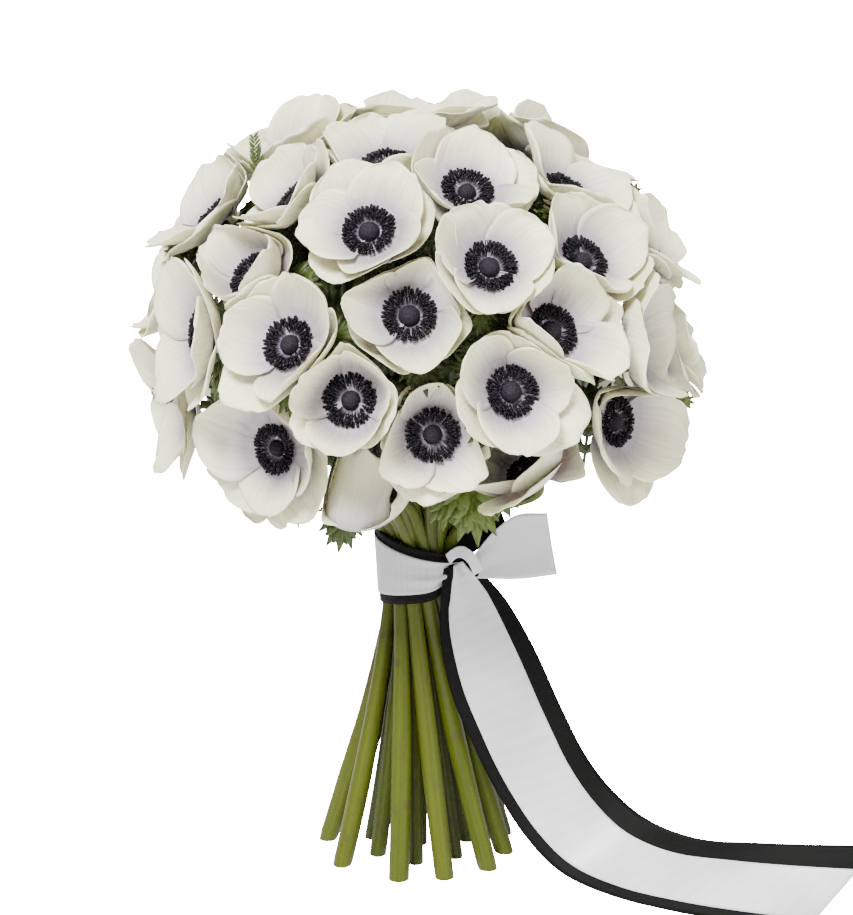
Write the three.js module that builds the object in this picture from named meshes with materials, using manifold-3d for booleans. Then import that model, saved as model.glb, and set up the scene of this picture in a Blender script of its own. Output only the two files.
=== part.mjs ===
// A hand-tied round bouquet of white anemones with dark hearts. The stems spiral through the
// tie and stand on their cut ends; a white ribbon over a wider black one is knotted round them.
// Millimetres, +Z up, the origin on the surface under the middle stem. The viewer stands at -Y.
import * as THREE from 'three';
import { mergeVertices } from 'three/addons/utils/BufferGeometryUtils.js';
import Module from 'manifold-3d';

const wasm = await Module();
wasm.setup();

// ---- driving dimensions ---------------------------------------------------------------
const DOME = { halfWidth: 138, backDepth: 118, halfHeight: 102, centre: 308, focus: 255 };
const TIE = { low: 156, high: 176, radius: 20.2 };      // the stems pressed together
const STEM = { foot: 5.3, tie: 3.9, upper: 2.3, neck: 2.3 };   // radii along a stem
const SPIRAL = 30;            // degrees that a stem winds above the tie, and again below it
const BLADE = 0.9;            // thickness of a petal
const LEAF = 0.8;             // thickness of a leaf
const SATIN = 0.8;            // thickness of a ribbon
const GAP = 0.3;              // clearance between pieces that touch
const PETALS = 3;             // petals in each of a bloom's two whorls
const BASE_RADIUS = 5;        // the seat that a bloom's petals grow from
const RIM_HEIGHT = 6;         // height over its seat at which a bloom meets its neighbours
const WHORL_STEP = 2.4;       // the outer whorl sits this much lower than the inner one
const SEAT_BOTTOM = -WHORL_STEP - BLADE / 2;
const HEART = {
  radius: 13, height: 10.5,          // across the stamens, and at the top of the pistil
  crest: 8, notch: 2.4, lumps: 4,    // the toothed ring of stamens
  valley: { radius: 6, height: 5.2 }, foot: 4.4,
};

const rad = THREE.MathUtils.degToRad;
const UP = new THREE.Vector3(0, 0, 1);
let seed = 20;
function draw(spread) {
  seed = (seed * 16807) % 2147483647;
  return spread * (2 * (seed / 2147483647) - 1);
}

// ---- the blooms: where each sits on the dome, in groups of neighbours ----------------------
// turn: degrees to the right of the front; rise: degrees up the dome; lift: outward shift;
// width: across the open bloom; cup: 0 flat to 1 deep; nod: degrees that the face hangs down;
// swing: degrees that it looks farther to the right than its place on the dome
const FRONT_HEADS = [
  [{ turn: -35.5, rise: 42.4, lift: 2, width: 66, cup: 0.5, nod: 9, swing: -34 },
   { turn: -12.9, rise: 58.4, lift: 0, width: 70, cup: 0.4 },
   { turn: 14.8, rise: 47.1, lift: 2, width: 72, cup: 0.35, nod: 8 }],
  [{ turn: -11.1, rise: 33, lift: 6, width: 70, cup: 0.35, nod: 9 },
   { turn: -1.6, rise: 11.4, lift: 0, width: 70, cup: 0.35, nod: 3 },
   { turn: 14.9, rise: 22.3, lift: 8, width: 64, cup: 0.45, nod: 4 }],
  [{ turn: -13.2, rise: -12.5, lift: 6, width: 60, cup: 0.75 },
   { turn: 3.2, rise: -22.5, lift: 5, width: 66, cup: 0.45 },
   { turn: -14, rise: -44, lift: -2, width: 58, cup: 0.88, nod: -38, swing: -8 }],
  [{ turn: -50.1, rise: 2.5, lift: 2, width: 70, cup: 0.45, nod: 17, swing: -13 },
   { turn: -39.8, rise: 20.7, lift: -4, width: 58, cup: 0.8 },
   { turn: -26.3, rise: 2.2, lift: 2, width: 68, cup: 0.5 }],
  [{ turn: -37.6, rise: -31.5, lift: -1, width: 68, cup: 0.4 },
   { turn: -70, rise: -47, lift: -3, width: 68, cup: 0.4, nod: 5, swing: 8 },
   { turn: -82, rise: -26, lift: 0, width: 70, cup: 0.4, nod: 6, swing: 8 }],
  [{ turn: 18.2, rise: -10.5, lift: 9, width: 64, cup: 0.5 },
   { turn: 27.6, rise: 5.4, lift: 3, width: 66, cup: 0.45 },
   { turn: 40.7, rise: 24.3, lift: 0, width: 66, cup: 0.45 }],
  [{ turn: 52.4, rise: -0.4, lift: 0, width: 68, cup: 0.4, nod: 13, swing: 21 },
   { turn: 50.6, rise: -24.3, lift: 4, width: 70, cup: 0.4 },
   { turn: 34.1, rise: -40.9, lift: -2, width: 66, cup: 0.6, nod: -59, swing: -96 }],
  [{ turn: 54.3, rise: 46.5, lift: -2, width: 72, cup: 0.45 },
   { turn: 79, rise: 26, lift: -3, width: 70, cup: 0.35 },
   { turn: 90, rise: -6, lift: -4, width: 68, cup: 0.4 }],
  [{ turn: 175, rise: 86, lift: 1, width: 90, cup: 0.3 },
   { turn: -72, rise: 60, lift: 0, width: 78, cup: 0.4 },
   { turn: -74, rise: 36, lift: -2, width: 70, cup: 0.4 },
   { turn: -80, rise: 10, lift: -5, width: 70, cup: 0.4 }],
];
// the far side, in three rings, again by neighbours: [turn, rise] of each bloom
const HIGH = 55;
const MIDDLE = 18;
const LOW = -19;
const BACK_HEADS = [
  [[118, MIDDLE], [108, LOW], [136, LOW]],
  [[108, HIGH], [148, HIGH], [150, MIDDLE]],
  [[166, LOW], [181, MIDDLE], [196, LOW]],
  [[248, HIGH], [200, HIGH], [212, MIDDLE]],
  [[226, LOW], [243, MIDDLE], [255, LOW]],
];
const BACK = { width: 80, cup: 0.35 };

function backHeads() {
  return BACK_HEADS.map((spots) => spots.map(([turn, rise]) => ({
    turn: turn + draw(2), rise: rise + draw(2), lift: draw(2),
    width: BACK.width + draw(2), cup: BACK.cup + draw(0.08),
  })));
}

function onDome(turn, rise) {
  const flat = Math.cos(rad(rise));
  const depth = Math.cos(rad(turn)) > 0 ? DOME.halfWidth : DOME.backDepth;
  return new THREE.Vector3(DOME.halfWidth * flat * Math.sin(rad(turn)),
    -depth * flat * Math.cos(rad(turn)),
    DOME.centre + DOME.halfHeight * Math.sin(rad(rise)));
}

function placeBloom(row, head) {
  const seat = onDome(row.turn, row.rise);
  const out = seat.clone().sub(new THREE.Vector3(0, 0, DOME.focus));
  const lift = Math.asin(out.z / out.length()) - rad(row.nod ?? 0);
  const turn = rad(row.turn + (row.swing ?? 0));
  const axis = new THREE.Vector3(Math.sin(turn) * Math.cos(lift),
    -Math.cos(turn) * Math.cos(lift), Math.sin(lift));
  seat.addScaledVector(axis, row.lift);
  const side = new THREE.Vector3(Math.cos(turn), Math.sin(turn), 0);
  return { ...row, head, seat, axis, side, top: side.clone().cross(axis).negate(),
    roll: draw(60), radius: row.width / 2 };
}

const heads = [...FRONT_HEADS, ...backHeads()];
const blooms = heads.flatMap((rows, head) => rows.map((row) => placeBloom(row, head)));

// Each bloom of a group but the last turns one outer petal towards the next bloom.
blooms.forEach((bloom, index) => {
  const next = blooms[index + 1];
  if (!next || next.head !== bloom.head) return;
  const toward = next.seat.clone().sub(bloom.seat);
  bloom.next = next;
  bloom.roll = THREE.MathUtils.radToDeg(
    Math.atan2(toward.dot(bloom.top), toward.dot(bloom.side))) - 60;
});

// ---- each bloom keeps to its own side of slanted planes between it and its neighbours ------
const NEIGHBOUR_REACH = 95;
const BENDS = 12;             // passes that bend a point clear of all its planes
const LIFTED_BENDS = 3;       // the first of them also push it up
const PUSHED_UP = 0.4;        // as a share of how far it was past the plane

function cellOf(bloom) {
  const rim = bloom.seat.clone().addScaledVector(bloom.axis, RIM_HEIGHT);
  const planes = [];
  for (const other of blooms) {
    if (other === bloom || other.seat.distanceTo(bloom.seat) > NEIGHBOUR_REACH) continue;
    const otherRim = other.seat.clone().addScaledVector(other.axis, RIM_HEIGHT);
    const normal = otherRim.clone().sub(rim);
    const distance = normal.length();
    normal.normalize();
    const share = 0.5 + (bloom.radius - other.radius) / (2 * distance);
    const limit = rim.dot(normal) + share * distance;
    planes.push({ normal, limit });
  }
  return planes;
}

// A point past a plane is bent back to it, and slides up along it as a crowded petal does.
function keepInCell(point, bloom, planes, inset) {
  const bent = point.clone();
  for (let pass = 0; pass < BENDS; pass += 1) {
    for (const plane of planes) {
      const past = bent.dot(plane.normal) - plane.limit + inset;
      if (past <= 0) continue;
      bent.addScaledVector(plane.normal, -past);
      if (pass >= LIFTED_BENDS) continue;
      const along = bloom.axis.clone().addScaledVector(plane.normal,
        -bloom.axis.dot(plane.normal));
      bent.addScaledVector(along, PUSHED_UP * past);
    }
  }
  return bent;
}

// ---- thin blades -------------------------------------------------------------------------
// rows: lines of mid-surface points, all with the same count; the blade gets both its faces,
// split alike, and a rim
function bladeFaces(rows, thickness) {
  const normalAt = (row, column) => {
    const before = rows[Math.max(row - 1, 0)][column];
    const after = rows[Math.min(row + 1, rows.length - 1)][column];
    const line = rows[row];
    const left = line[Math.max(column - 1, 0)];
    const right = line[Math.min(column + 1, line.length - 1)];
    const along = after.clone().sub(before);
    return along.cross(right.clone().sub(left)).normalize();
  };
  const shifted = (amount) => rows.map((line, row) => line.map((point, column) => (
    point.clone().addScaledVector(normalAt(row, column), amount))));
  return { upper: shifted(thickness / 2), lower: shifted(-thickness / 2) };
}

class Shell {
  constructor() {
    this.points = [];
  }

  triangle(a, b, c) {
    this.points.push(a, b, c);
  }

  quad(a, b, c, d, flip = false) {
    if (flip) {
      this.triangle(a, b, d);
      this.triangle(b, c, d);
    } else {
      this.triangle(a, b, c);
      this.triangle(a, c, d);
    }
  }

  fan(centre, ring) {
    ring.forEach((point, index) => {
      this.triangle(centre, point, ring[(index + 1) % ring.length]);
    });
  }

  // two faces and the two long rims of a strip of blade
  strip(upper, lower) {
    const last = upper[0].length - 1;
    for (let row = 0; row + 1 < upper.length; row += 1) {
      for (let column = 0; column < last; column += 1) {
        const flip = column < last / 2;
        this.quad(upper[row][column], upper[row + 1][column],
          upper[row + 1][column + 1], upper[row][column + 1], flip);
        this.quad(lower[row][column], lower[row][column + 1],
          lower[row + 1][column + 1], lower[row + 1][column], flip);
      }
      this.quad(upper[row][0], lower[row][0], lower[row + 1][0], upper[row + 1][0]);
      this.quad(lower[row][last], upper[row][last],
        upper[row + 1][last], lower[row + 1][last]);
    }
  }

  // the short rim across the end of a blade
  end(upper, lower) {
    for (let column = 0; column + 1 < upper.length; column += 1) {
      this.quad(upper[column], lower[column], lower[column + 1], upper[column + 1]);
    }
  }

  solid() {
    return solidOf(new THREE.BufferGeometry().setFromPoints(this.points));
  }
}

function solidOf(geometry) {
  geometry.deleteAttribute('normal');
  geometry.deleteAttribute('uv');
  const merged = mergeVertices(geometry, 1e-3);
  const triVerts = new Uint32Array(merged.index.array);
  const vertProperties = new Float32Array(merged.attributes.position.array);
  return new wasm.Manifold(new wasm.Mesh({ numProp: 3, vertProperties, triVerts }));
}

function bladeSolid(rows, thickness) {
  const { upper, lower } = bladeFaces(rows, thickness);
  const shell = new Shell();
  shell.strip(upper, lower);
  const last = upper.length - 1;
  shell.end(upper[last], lower[last]);
  shell.end([...upper[0]].reverse(), [...lower[0]].reverse());
  return shell.solid();
}

function joinAll(solids) {
  return solids.reduce((whole, piece) => whole.add(piece));
}

// ---- petals ------------------------------------------------------------------------------
// Lengths are shares of the bloom's radius; angles are half of a petal's spread, in degrees.
const WHORL = {
  belly: { radius: 0.56, half: 53, rise: 0.1, cupped: 0.12 },    // the widest part of a petal
  rim: { half: 35, closing: 0.16, corner: 0.93, cornerLift: 1.2 },
  outer: { scale: 1.04, rise: 0.17, cupped: 0.3, inset: 0 },
  inner: { scale: 0.96, rise: 0.26, cupped: 0.45, inset: 1.6 },
};
const UNDER_NEXT = { inward: 0.12, lift: 0.5 };    // where a tip meets the next bloom's petals

function bloomPoint(bloom, radius, angle, height) {
  return bloom.seat.clone()
    .addScaledVector(bloom.side, radius * Math.cos(angle))
    .addScaledVector(bloom.top, radius * Math.sin(angle))
    .addScaledVector(bloom.axis, height);
}

// The mid-surface of one whorl: for each petal, three rows of three points from seat to rim.
function whorlRows(bloom, outer) {
  const planes = cellOf(bloom);
  const { belly, rim } = WHORL;
  const whorl = outer ? WHORL.outer : WHORL.inner;
  const floor = outer ? -WHORL_STEP : 0;
  const inset = (BLADE + GAP) / 2 + whorl.inset;
  const heightOf = (part) => (part.rise + part.cupped * bloom.cup) * bloom.radius;
  const open = whorl.scale * (1 - rim.closing * bloom.cup);
  const stations = [
    { radius: belly.radius * bloom.radius, height: heightOf(belly), half: belly.half },
    { radius: open * bloom.radius, height: heightOf(whorl), half: rim.half },
  ];
  const first = rad(bloom.roll) + (outer ? Math.PI / PETALS : 0);
  const petals = [];
  for (let petal = 0; petal < PETALS; petal += 1) {
    const angle = first + petal * (2 * Math.PI / PETALS);
    const seat = [-1, 0, 1].map((across) => (
      bloomPoint(bloom, BASE_RADIUS, angle + across * (Math.PI / PETALS), floor)));
    const rows = stations.map((station, step) => [-1, 0, 1].map((across) => {
      const corner = across !== 0 && step === 1;
      const point = bloomPoint(bloom, station.radius * (corner ? rim.corner : 1),
        angle + across * rad(station.half),
        floor + station.height + (corner ? rim.cornerLift : 0));
      return keepInCell(point, bloom, planes, inset);
    }));
    petals.push([seat, ...rows]);
  }
  return petals;
}

const nearest = (points, target) => points.reduce((best, point) => (
  point.distanceTo(target) < best.distanceTo(target) ? point : best));

// The petal that is turned to the next bloom slips its tip under that bloom's own petals,
// far enough to meet them, so that a group of blooms is one piece.
function slipUnderNext(bloom, rows, nextRows) {
  const spots = nextRows.flatMap(([seat, middle]) => (
    middle.map((point, index) => point.clone().lerp(seat[index], UNDER_NEXT.inward))));
  const spot = nearest(spots, bloom.seat).addScaledVector(bloom.next.axis, UNDER_NEXT.lift);
  rows[0][2][1].copy(spot);
}

const innerRows = blooms.map((bloom) => whorlRows(bloom, false));
const outerRows = blooms.map((bloom) => whorlRows(bloom, true));
blooms.forEach((bloom, index) => {
  if (bloom.next) slipUnderNext(bloom, outerRows[index], outerRows[index + 1]);
});

// A bloom is one shell: both whorls grow from the edge of a six-sided seat, which has a ring
// of corners above, one between the whorls and one below.
function petalsOf(bloom) {
  const index = blooms.indexOf(bloom);
  const ring = (height) => Array.from({ length: 2 * PETALS }, (_, corner) => bloomPoint(
    bloom, BASE_RADIUS, rad(bloom.roll) + (corner - 1) * (Math.PI / PETALS), height));
  const above = ring(BLADE / 2);
  const between = ring(-WHORL_STEP / 2);
  const below = ring(SEAT_BOTTOM);
  const shell = new Shell();
  const grow = (petals, firstCorner, upperRing, lowerRing) => petals.forEach((rows, petal) => {
    const corners = [0, 1, 2].map((step) => (firstCorner + 2 * petal + step) % (2 * PETALS));
    const { upper, lower } = bladeFaces(rows, BLADE);
    upper[0] = corners.map((corner) => upperRing[corner]);
    lower[0] = corners.map((corner) => lowerRing[corner]);
    shell.strip(upper, lower);
    shell.end(upper[2], lower[2]);
  });
  grow(innerRows[index], 0, above, between);
  grow(outerRows[index], 1, between, below);
  shell.fan(bloomPoint(bloom, 0, 0, BLADE / 2), above);
  shell.fan(bloomPoint(bloom, 0, 0, SEAT_BOTTOM), below.reverse());
  return shell.solid();
}

// ---- the dark heart: a domed pistil in a toothed ring of stamens ---------------------------
function heart(bloom) {
  const sides = 2 * HEART.lumps;
  const low = BLADE / 2 + GAP;
  const ring = (radius, height, notch = 0) => Array.from({ length: sides }, (_, index) => {
    const tooth = index % 2 ? notch : 0;
    return bloomPoint(bloom, radius - tooth, index * 2 * Math.PI / sides, low + height);
  });
  const seat = ring(HEART.foot, 0);
  const crest = ring(HEART.radius, HEART.crest, HEART.notch);
  const valley = ring(HEART.valley.radius, HEART.valley.height);
  const shell = new Shell();
  shell.fan(bloomPoint(bloom, 0, 0, low), [...seat].reverse());
  for (const [inside, outside] of [[seat, crest], [crest, valley]]) {
    inside.forEach((point, index) => {
      const next = (index + 1) % sides;
      shell.quad(point, inside[next], outside[next], outside[index]);
    });
  }
  shell.fan(bloomPoint(bloom, 0, 0, low + HEART.height), valley);
  return shell.solid();
}

// ---- stems -------------------------------------------------------------------------------
// a tapering many-sided rod along a curve, its two ends cut square to the given directions
function rod(curve, radii, sides, endNormals) {
  const rings = radii.map((radius, step) => {
    const at = curve.getPoint(step / (radii.length - 1));
    const way = endNormals[step] ?? curve.getTangent(step / (radii.length - 1));
    const turned = new THREE.Quaternion().setFromUnitVectors(UP, way);
    return Array.from({ length: sides }, (_, index) => {
      const angle = index * 2 * Math.PI / sides;
      return new THREE.Vector3(radius * Math.cos(angle), radius * Math.sin(angle), 0)
        .applyQuaternion(turned).add(at);
    });
  });
  const shell = new Shell();
  const last = rings.length - 1;
  for (let step = 0; step < last; step += 1) {
    for (let index = 0; index < sides; index += 1) {
      const next = (index + 1) % sides;
      shell.quad(rings[step][index], rings[step][next],
        rings[step + 1][next], rings[step + 1][index]);
    }
  }
  for (let index = 1; index + 1 < sides; index += 1) {
    shell.triangle(rings[0][0], rings[0][index + 1], rings[0][index]);
    shell.triangle(rings[last][0], rings[last][index], rings[last][index + 1]);
  }
  return shell.solid();
}

const polar = (radius, turn, height) => new THREE.Vector3(
  radius * Math.sin(rad(turn)), -radius * Math.cos(rad(turn)), height);

// rings of cut ends on the floor: the middle stem, seven round it and eleven outside
const FEET = [
  { radius: 0, tie: 0, thick: 0.85, sides: 6, turns: [0] },
  { radius: 29, tie: 8.6, thick: 0.82, sides: 6, turns: [-54, -4, 46, 98, 150, 202, 254] },
  { radius: 53, tie: 15, thick: 1, sides: 8,
    turns: [-97, -54, -12, 16, 47, 74, 106, 138, 170, 202, 234] },
];
const BOW = { at: 0.55, inward: 0.8 };     // how a stem below the tie curves in on its way up
const UPPER = {
  spread: 16.3,                            // radius of the bundle where the stems leave the tie
  upright: 42, closing: 0.7, winding: 0.8, // they first rise close together, still winding
  approach: 34,                            // straight length behind the bloom
};

function lowerStems() {
  return FEET.flatMap(({ radius, tie, thick, sides, turns }) => turns.map((turn) => {
    const foot = polar(radius * (1 + draw(0.03)), turn, 0);
    const bound = polar(tie, turn - SPIRAL, TIE.low + 2);
    const between = foot.clone().lerp(bound, BOW.at)
      .multiply(new THREE.Vector3(BOW.inward, BOW.inward, 1));
    const curve = new THREE.QuadraticBezierCurve3(foot, between, bound);
    const radii = [STEM.foot, (STEM.foot + STEM.tie) / 2, STEM.tie].map((size) => size * thick);
    return rod(curve, radii, sides, [UP]);
  }));
}

// from the tie up to its bloom, swinging out and winding on as it goes
function upperCurve(bloom) {
  const rank = blooms.filter((other) => other.seat.z > bloom.seat.z).length;
  const spread = UPPER.spread * Math.sqrt((rank + 0.5) / blooms.length);
  const bound = polar(spread, bloom.turn + SPIRAL, TIE.high - 3);
  const leaving = polar(UPPER.closing * spread, bloom.turn + UPPER.winding * SPIRAL,
    TIE.high + UPPER.upright);
  const end = bloom.seat.clone().addScaledVector(bloom.axis, SEAT_BOTTOM - GAP);
  const nearing = end.clone().addScaledVector(bloom.axis, -UPPER.approach);
  return new THREE.CubicBezierCurve3(bound, leaving, nearing, end);
}

function upperStem(bloom) {
  const radii = [STEM.upper, STEM.upper, STEM.neck, STEM.neck];
  const ends = [UP, undefined, undefined, bloom.axis];
  return rod(upperCurve(bloom), radii, 4, ends);
}

function boundStems() {
  const sides = 20;
  const shape = new THREE.CylinderGeometry(TIE.radius, TIE.radius, TIE.high - TIE.low, sides);
  shape.rotateX(Math.PI / 2);
  shape.translate(0, 0, (TIE.high + TIE.low) / 2);
  return solidOf(shape);
}

// ---- leaves: thin arched blades with deep lobes, seen in the gaps between the blooms -------
// where each tip lies: turn and rise on the dome, how far out of it, and the leaf's half width
const LEAVES = [
  { turn: -19, rise: 20, out: -3, half: 13 },
  { turn: 3, rise: 40, out: -3, half: 10 },
  { turn: 16, rise: 10, out: -3, half: 12 },
  { turn: -5, rise: -4, out: -3, half: 10 },
  { turn: 41, rise: -17, out: -3, half: 12 },
  { turn: -25, rise: -26, out: -8, half: 8 },
  { turn: -47, rise: -13, out: -5, half: 12 },
  { turn: 37, rise: 38, out: -3, half: 11 },
  { turn: 20, rise: -62, out: 2, half: 12 },
  { turn: 33, rise: -68, out: 6, half: 12 },
  { turn: -40, rise: -70, out: 10, half: 9 },
  { turn: 76, rise: -44, out: -8, half: 12 },
  { turn: 165, rise: 34, out: -6, half: 14 },
  { turn: 215, rise: 2, out: -6, half: 14 },
];
const LOBES = [0.16, 0.9, 0.3, 1, 0.25, 0.5];   // half width along a leaf, root to tip
const LEAF_ROOT = 0.72;       // how far up its stem a leaf grows
const ARCH = 5;               // how far the middle of a leaf bows outwards
const FOLD = 2.5;             // how far its edges hang below its midrib

function leaf({ turn, rise, out, half }) {
  const surface = onDome(turn, rise);
  const outward = surface.clone().sub(new THREE.Vector3(0, 0, DOME.focus)).normalize();
  const tip = surface.addScaledVector(outward, out);
  const roots = blooms.map((bloom) => upperCurve(bloom).getPoint(LEAF_ROOT));
  const root = nearest(roots, tip);
  const way = tip.clone().sub(root).normalize();
  const side = way.clone().cross(outward).normalize();
  const face = side.clone().cross(way).normalize();
  const bow = root.clone().lerp(tip, 0.5).addScaledVector(face, ARCH);
  const spine = new THREE.QuadraticBezierCurve3(root, bow, tip);
  const rows = LOBES.map((lobe, step) => [-1, 0, 1].map((across) => (
    spine.getPoint(step / (LOBES.length - 1))
      .addScaledVector(side, across * lobe * half)
      .addScaledVector(face, -FOLD * Math.abs(across) * lobe))));
  return bladeSolid(rows, LEAF);
}

function greenery() {
  return joinAll([boundStems(), ...lowerStems(), ...blooms.map(upperStem), ...LEAVES.map(leaf)]);
}

// ---- ribbons -----------------------------------------------------------------------------
const KNOT = { turn: 60, radius: 30.6, height: 167, size: 7.6 };
const BAND = {
  low: 153, high: 184, flare: 2.6,       // round the stems, opening upwards with them
  drawnLow: 3, drawnHigh: 7,             // its edges are drawn together towards the knot
  blackRadius: 21.5, whiteInset: 5.5,    // the white ribbon leaves a black edge on both sides
  steps: 18,
};
const LAYER = SATIN + GAP;    // the white ribbon lies this far in front of the black one
const SLACK = 0.5;            // and this much farther where both hang free

function band(radius, inset) {
  const turns = Array.from({ length: BAND.steps }, (_, step) => step * 360 / BAND.steps);
  const rows = turns.map((turn) => {
    const lean = Math.cos(rad(turn - KNOT.turn));
    const low = BAND.low + BAND.drawnLow * lean;
    const high = BAND.high - BAND.drawnHigh * lean;
    return [inset, high - low - inset].map((rise) => (
      polar(radius + BAND.flare * rise / (high - low), turn, low + rise)));
  });
  const offset = (amount) => rows.map((line, step) => line.map((point) => (
    point.clone().add(polar(amount, turns[step], 0)))));
  const close = (faces) => [...faces, faces[0]];
  const shell = new Shell();
  shell.strip(close(offset(SATIN / 2)), close(offset(-SATIN / 2)));
  return shell.solid();
}

// the long tail, by hand: its lower and upper edge, from the band down to the floor and away
const TAIL = [
  [[12.1, -17.3, 153], [20.4, -5.5, 155.5]],
  [[14, -24, 144], [37, -12, 154]],
  [[14, -25, 130], [50, -19, 149]],
  [[19, -31, 103], [66, -24, 124]],
  [[29, -36, 77], [80, -27, 93]],
  [[42, -42, 51], [95, -31, 64]],
  [[59, -49, 25], [112, -38, 44]],
  [[79, -59, 7], [131, -51, 33]],
  [[105, -76, 1], [155, -72, 32]],
  [[136, -96, 0.9], [183, -89, 37]],
  [[169, -110, 0.9], [211, -101, 41]],
  [[204, -121, 0.9], [243, -112, 45]],
];
const WHITE_TAIL_ROOT = [[[23, -19.5, 163], [29, -17.5, 163]], [[18, -28, 151], [36, -18, 159]]];
const WHITE_SHARE = [0.12, 0.83];     // the part of the black ribbon that the white one covers

const SHORT_END = {
  white: [[[27, -17.5, 164], [26, -17, 171]], [[41, -18, 168], [40, -17, 190]],
    [[58, -16, 165], [56, -14, 201]], [[78, -14, 166], [72, -12, 201]]],
  black: [[[18.3, -11.6, 177], [21.4, -3.8, 177]], [[33, -12.5, 178], [31, -5, 187]],
    [[51, -12, 182], [47, -8, 202]]],
};

const toRows = (lines) => lines.map((line) => line.map((spot) => new THREE.Vector3(...spot)));

function whiteTailRows() {
  const covered = toRows(TAIL).slice(2).map(([low, high]) => (
    WHITE_SHARE.map((share) => low.clone().lerp(high, share))));
  const { upper } = bladeFaces(covered, 2 * (LAYER + SLACK));
  return [...toRows(WHITE_TAIL_ROOT), ...upper];
}

function knot() {
  const shape = new THREE.SphereGeometry(KNOT.size, 8, 5);
  const at = polar(KNOT.radius, KNOT.turn, KNOT.height);
  shape.translate(at.x, at.y, at.z);
  return solidOf(shape);
}

function blackRibbon() {
  return joinAll([band(BAND.blackRadius, 0), bladeSolid(toRows(TAIL), SATIN),
    bladeSolid(toRows(SHORT_END.black), SATIN)]);
}

function whiteRibbon() {
  return joinAll([band(BAND.blackRadius + LAYER, BAND.whiteInset), knot(),
    bladeSolid(whiteTailRows(), SATIN), bladeSolid(toRows(SHORT_END.white), SATIN)]);
}

// ---- the scene -----------------------------------------------------------------------------
const COLOURS = {
  petal: { color: 0xe6e4da, roughness: 0.75 },
  heart: { color: 0x2d2637, roughness: 0.8 },
  green: { color: 0x7d8741, roughness: 0.6 },
  black: { color: 0x201e1c, roughness: 0.7 },
  white: { color: 0xe4e4e2, roughness: 0.35 },
};

const bouquet = new THREE.Group();

function addNode(name, solid, look) {
  const mesh = solid.getMesh();
  const geometry = new THREE.BufferGeometry();
  geometry.setAttribute('position', new THREE.BufferAttribute(mesh.vertProperties, 3));
  geometry.setIndex(new THREE.BufferAttribute(mesh.triVerts, 1));
  geometry.computeVertexNormals();
  const material = new THREE.MeshStandardMaterial({ metalness: 0, ...COLOURS[look] });
  const node = new THREE.Mesh(geometry, material);
  node.name = name;
  bouquet.add(node);
}

const two = (number) => String(number).padStart(2, '0');
heads.forEach((rows, head) => {
  const mates = blooms.filter((bloom) => bloom.head === head);
  addNode(`petals_${two(head + 1)}`, joinAll(mates.map(petalsOf)), 'petal');
});
blooms.forEach((bloom, index) => addNode(`heart_${two(index + 1)}`, heart(bloom), 'heart'));
addNode('stems_and_leaves', greenery(), 'green');
addNode('ribbon_black', blackRibbon(), 'black');
addNode('ribbon_white', whiteRibbon(), 'white');

export default bouquet;
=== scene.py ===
# A round hand-tied bouquet of white anemones with dark hearts: 43 blooms on spiralled green
# stems, tied with a white satin ribbon over a wider black one, standing on its cut stem ends.
# Sizes of the pieces are in millimetres and become metres when a piece is finished.
import functools
import math
import random

import bmesh
import bpy
import numpy as np
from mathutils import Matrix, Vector, noise


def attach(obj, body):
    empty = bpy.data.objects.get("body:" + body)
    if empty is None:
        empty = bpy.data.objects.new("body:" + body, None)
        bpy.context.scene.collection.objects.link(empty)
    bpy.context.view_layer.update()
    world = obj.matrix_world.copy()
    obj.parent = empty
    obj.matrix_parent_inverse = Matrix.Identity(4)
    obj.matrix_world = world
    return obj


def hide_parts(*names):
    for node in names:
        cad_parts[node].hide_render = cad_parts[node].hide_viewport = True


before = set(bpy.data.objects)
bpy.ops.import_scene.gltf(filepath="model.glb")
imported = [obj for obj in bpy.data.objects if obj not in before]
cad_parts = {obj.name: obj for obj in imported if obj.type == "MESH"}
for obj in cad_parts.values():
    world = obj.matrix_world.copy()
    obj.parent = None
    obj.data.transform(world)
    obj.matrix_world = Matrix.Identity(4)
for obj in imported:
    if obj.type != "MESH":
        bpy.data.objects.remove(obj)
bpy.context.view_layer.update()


# ---- The places of the blooms ----
# The florist has set each bloom on the dome, facing outwards. Its place is read from its dark
# heart, which is round about the bloom's axis; its width, depth of cup and how far it stands
# out over its neighbours are given here: [width, cup, lift] of blooms 1 to 43.
MM = 0.001
BLOOM_COUNT = 43
DOME_CENTRE = np.array([0.0, 0.0, 308.0])
DOME_HALF = np.array([138.0, 128.0, 102.0])
HEART_FOOT = 0.75  # the heart stands this far above the bloom's seat
FAR = [84, 0.35, 0]  # the form of most blooms on the far side
BLOOM_FORMS = [
    [68, 0.50, 2], [72, 0.40, 0], [72, 0.38, 2], [72, 0.38, 6], [74, 0.36, 2], [66, 0.52, 8],
    [62, 0.82, 6], [68, 0.48, 5], [72, 0.80, -2], [80, 0.42, 3], [70, 0.60, -2], [74, 0.52, 4],
    [92, 0.42, 3], [94, 0.36, -1], [82, 0.62, 7], [70, 0.60, 9], [76, 0.60, 4],
    [72, 0.50, 2], [88, 0.44, 3], [82, 0.60, 4], [84, 0.62, -2], [74, 0.45, -2],
    [70, 0.40, -3], [72, 0.45, -4], [90, 0.30, 1], [80, 0.40, 0], [84, 0.40, -1], [70, 0.40, -5],
    [76, 0.35, 0], [72, 0.35, -3], FAR, [94, 0.32, -1], [96, 0.32, -1], *[FAR] * 8,
    [76, 0.35, 0], [72, 0.35, -5],
]


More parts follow.
